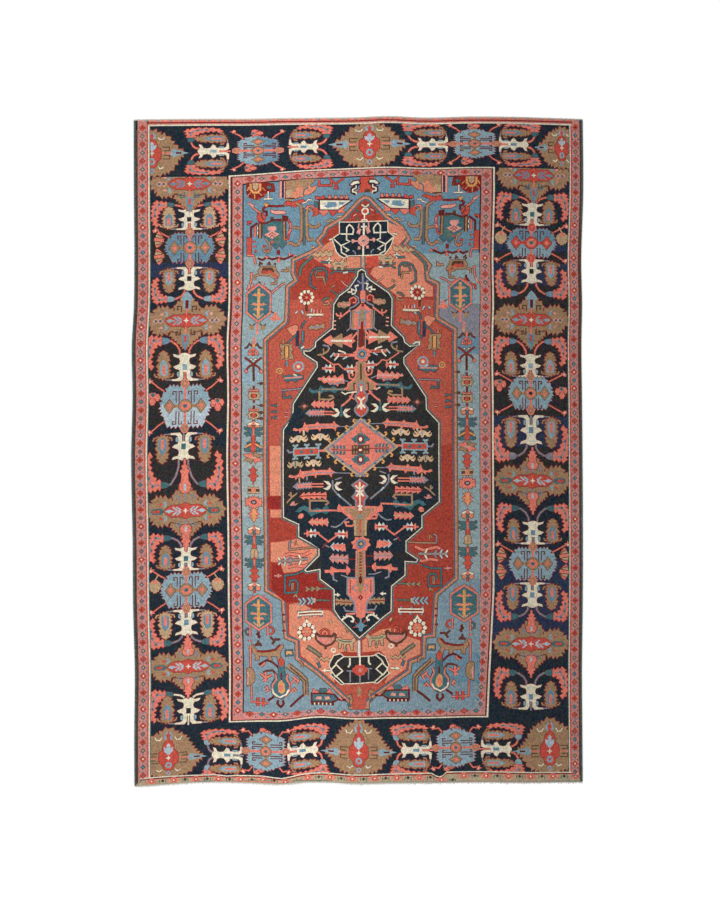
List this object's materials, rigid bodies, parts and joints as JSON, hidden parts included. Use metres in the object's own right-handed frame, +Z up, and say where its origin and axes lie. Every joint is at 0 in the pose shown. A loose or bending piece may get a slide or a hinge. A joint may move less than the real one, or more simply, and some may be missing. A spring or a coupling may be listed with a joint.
{
  "type": "persian rug",
  "caption": "Large rectangular hand-knotted pile rug lying flat, with wool-wound side cords and a short worn fringe at each end.",
  "frame": {"origin": "on the floor under the middle of the rug's footprint", "axes": "+X across the rug to the picture's right, +Y along its length to the picture's top, +Z up out of the pile"},
  "size_m": [2.4144, 3.5908, 0.009],
  "materials": {
    "pile_wool": "cut wool pile, many-coloured, matt",
    "cord_wool": "wound wool yarn, dark teal, matt",
    "warp_yarn": "undyed warp yarn, worn, matt"
  },
  "bodies": {
    "root": {"carpet": "pile_wool", "side_cord_left": "cord_wool", "side_cord_right": "cord_wool", "fringed_web_lower": "warp_yarn", "fringed_web_upper": "warp_yarn"}
  },
  "joints": []
}
